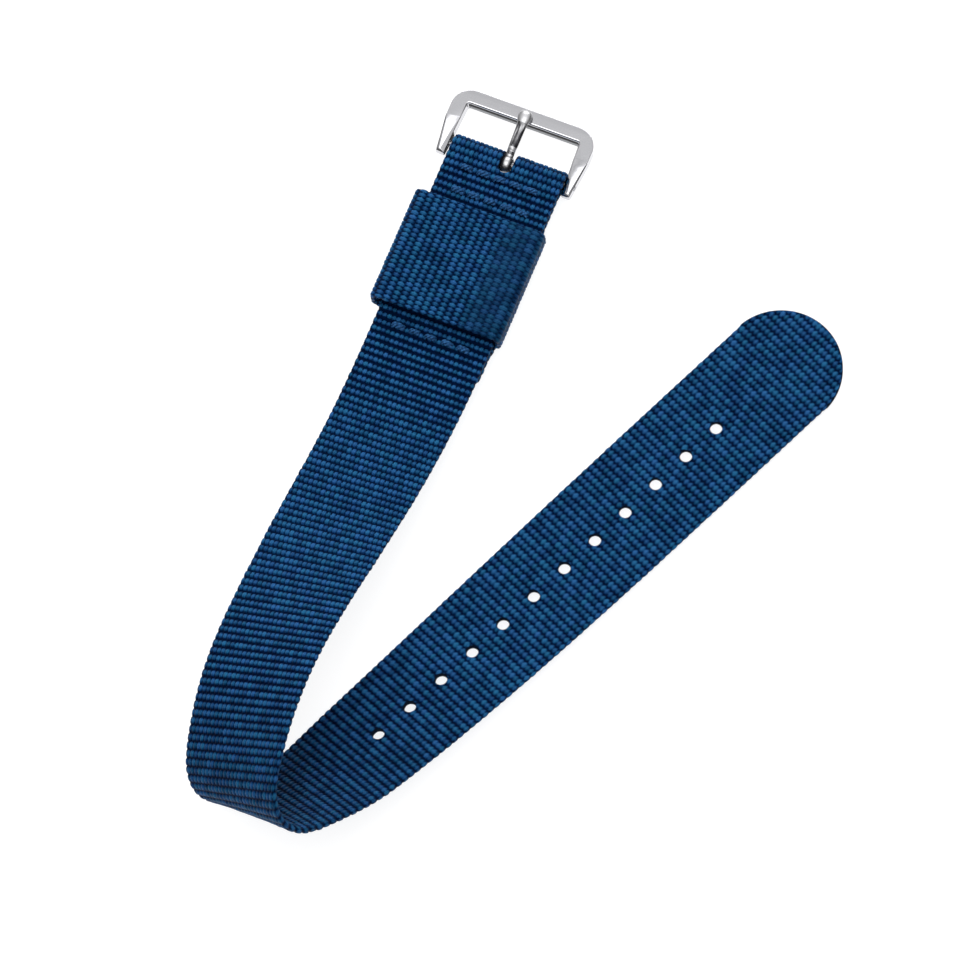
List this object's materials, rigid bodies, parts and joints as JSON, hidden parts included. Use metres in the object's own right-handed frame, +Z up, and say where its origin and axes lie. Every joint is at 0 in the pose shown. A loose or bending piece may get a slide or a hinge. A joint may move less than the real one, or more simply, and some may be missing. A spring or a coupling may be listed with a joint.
{
  "type": "nylon watch strap",
  "caption": "Woven nylon watch strap laid in a loose fold: punched round end, sewn tail, keeper loop, and a steel buckle and prong that swing on a spring bar.",
  "frame": {"origin": "centre of the whole part's footprint, on the table under it", "axes": "+X along the sewn end towards the buckle, +Y to that end's left edge, +Z up from the table"},
  "size_m": [0.131, 0.077, 0.0229],
  "materials": {
    "webbing": "coarse plain-woven navy nylon with a slight sheen",
    "thread": "navy sewing thread, a little brighter than the webbing",
    "polished_steel": "polished stainless steel",
    "bar_steel": "plain turned stainless steel"
  },
  "bodies": {
    "strap": {"strap_band": "webbing", "keeper_loop": "webbing", "stitch_row_bar": "thread", "stitch_row_upper": "thread", "stitch_row_lower": "thread"},
    "buckle": {"buckle_frame": "polished_steel"},
    "prong": {"prong": "polished_steel"},
    "bar": {"bar_tube": "bar_steel", "bar_spring": "bar_steel"},
    "tip_left": {"bar_tip_left": "bar_steel"},
    "tip_right": {"bar_tip_right": "bar_steel"}
  },
  "joints": [
    {"name": "buckle_swing", "type": "hinge", "parent": "strap", "child": "buckle", "pos_m": [0.05567, 0.02604, 0.00201], "axis": [0, -1, 0], "range_deg": [-90, 30]},
    {"name": "prong_swing", "type": "hinge", "parent": "buckle", "child": "prong", "pos_m": [0.05567, 0.02604, 0.00201], "axis": [0, -1, 0], "range_deg": [0, 70]},
    {"name": "bar_spin", "type": "hinge", "parent": "buckle", "child": "bar", "pos_m": [0.05567, 0.02604, 0.00201], "axis": [0, 1, 0], "continuous": true},
    {"name": "tip_left_slide", "type": "slide", "parent": "buckle", "child": "tip_left", "axis": [0, -1, 0], "range_m": [0, 0.0011], "stiffness_N_per_m": 300, "springref_m": -0.003, "deforming": ["bar_spring"]},
    {"name": "tip_right_slide", "type": "slide", "parent": "buckle", "child": "tip_right", "axis": [0, 1, 0], "range_m": [0, 0.0011], "stiffness_N_per_m": 300, "springref_m": -0.003, "deforming": ["bar_spring"]}
  ]
}
